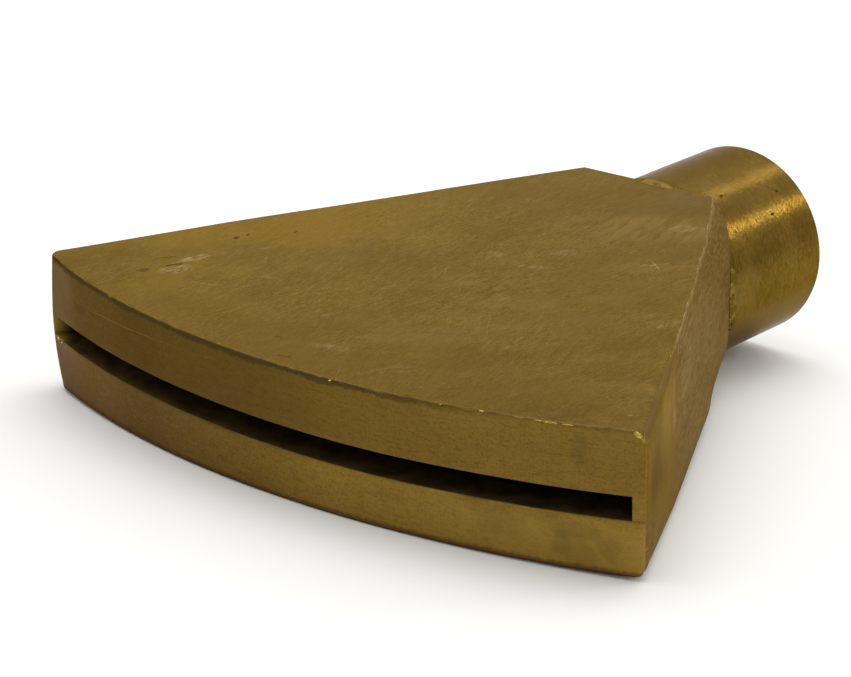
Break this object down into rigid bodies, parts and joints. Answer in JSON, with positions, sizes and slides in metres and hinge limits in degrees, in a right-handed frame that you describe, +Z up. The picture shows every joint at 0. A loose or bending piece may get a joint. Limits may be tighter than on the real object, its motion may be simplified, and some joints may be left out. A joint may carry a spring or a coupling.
{
  "type": "fan slot nozzle",
  "caption": "Flat fan nozzle of brazed brass plates: a wedge-shaped water box with a long curved slot outlet and a round threaded inlet socket behind.",
  "frame": {"origin": "on the surface that the nozzle lies on, under the middle of its bounding box", "axes": "+Z up, +X across the width of the slot, +Y from the slot towards the inlet. The nozzle lies as it rests on a table, on the inlet socket's lower edge and the middle of its front edge, so its own inlet axis points 5.14 degrees above +Y."},
  "size_m": [0.222, 0.221, 0.0637],
  "materials": {
    "panel_brass": "aged, dull, brushed by hand, with patches and fine scratches",
    "front_brass": "satin, aged, finely sanded",
    "socket_brass": "lathe-turned, semi-bright, with fine rings",
    "braze": "ground braze, paler than the plates"
  },
  "bodies": {
    "root": {"back_plate": "panel_brass", "bottom_back_seam": "braze", "bottom_front_seam": "braze", "bottom_left_corner_seam": "braze", "bottom_left_socket_fillet": "braze", "bottom_plate": "panel_brass", "bottom_right_corner_seam": "braze", "bottom_right_socket_fillet": "braze", "front_plate": "front_brass", "inlet_socket": "socket_brass", "left_back_seam": "braze", "left_front_seam": "braze", "left_side_plate": "panel_brass", "right_back_seam": "braze", "right_front_seam": "braze", "right_side_plate": "panel_brass", "top_back_seam": "braze", "top_front_seam": "braze", "top_left_corner_seam": "braze", "top_left_socket_fillet": "braze", "top_plate": "panel_brass", "top_right_corner_seam": "braze", "top_right_socket_fillet": "braze"}
  },
  "joints": []
}
